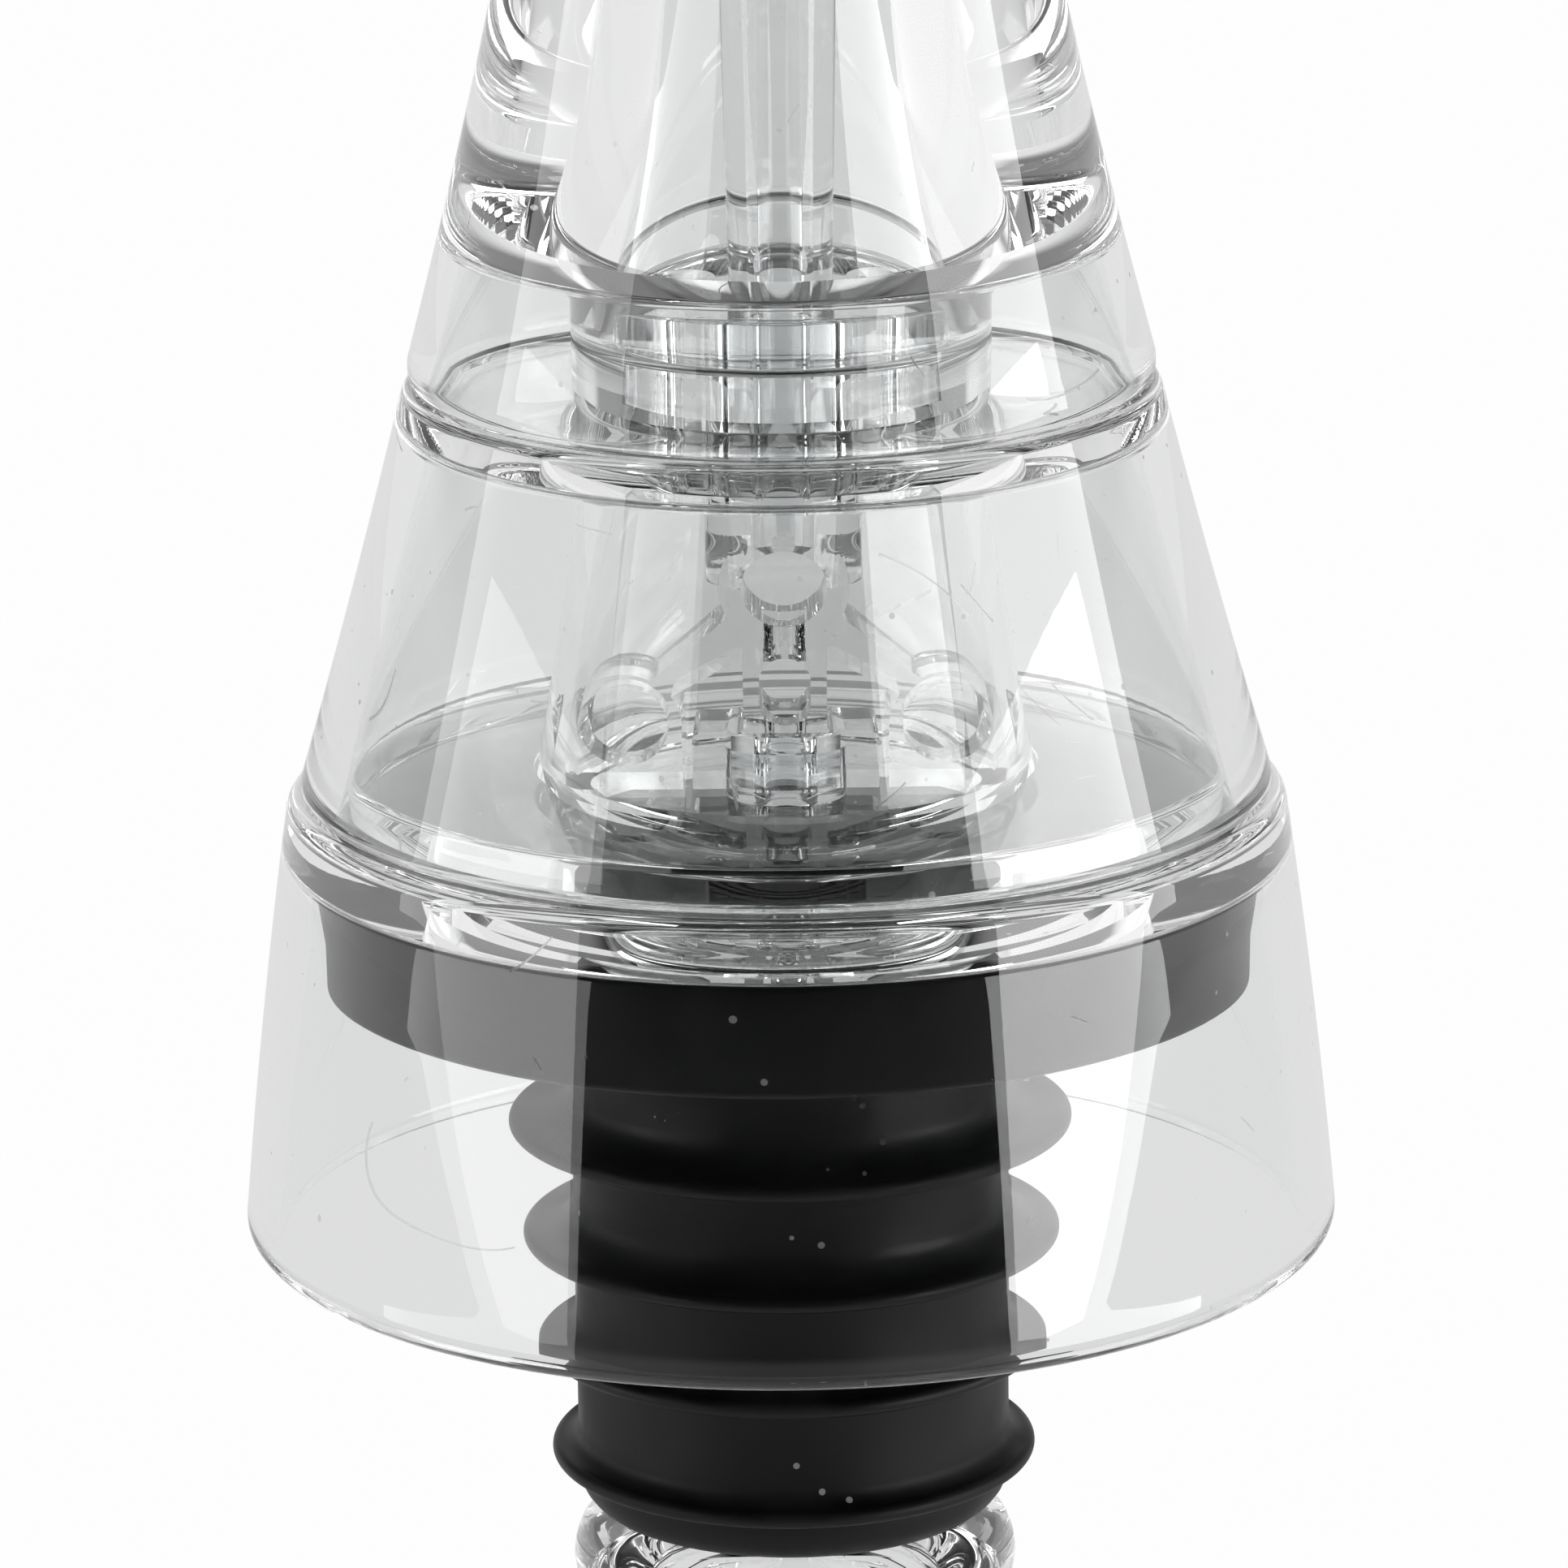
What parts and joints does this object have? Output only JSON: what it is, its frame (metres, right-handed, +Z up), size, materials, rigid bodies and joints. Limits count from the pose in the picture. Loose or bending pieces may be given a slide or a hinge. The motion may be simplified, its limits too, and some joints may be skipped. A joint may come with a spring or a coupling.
{
  "type": "wine aerator pourer",
  "caption": "Tiered clear plastic pourer with an aerating core, an oblique pouring lip and a bell skirt over a black finned rubber stopper for a bottle neck.",
  "frame": {"origin": "on the axis, in the plane of the stopper's seat, the flange underside that rests on the bottle's lip", "axes": "+Z up along the axis towards the spout, -Y towards the front, +X towards the tip of the lip"},
  "size_m": [0.046, 0.046, 0.1529],
  "materials": {
    "clear_plastic": "clear polished acrylic",
    "black_rubber": "matt black rubber"
  },
  "bodies": {
    "root": {"spout_body": "clear_plastic", "air_tube": "clear_plastic", "diffuser_disc": "clear_plastic", "mixing_body": "clear_plastic", "aerator_core": "clear_plastic", "core_cup": "clear_plastic", "return_tube": "clear_plastic", "bell_skirt": "clear_plastic", "stopper": "black_rubber", "inlet_pipe": "clear_plastic"}
  },
  "joints": []
}
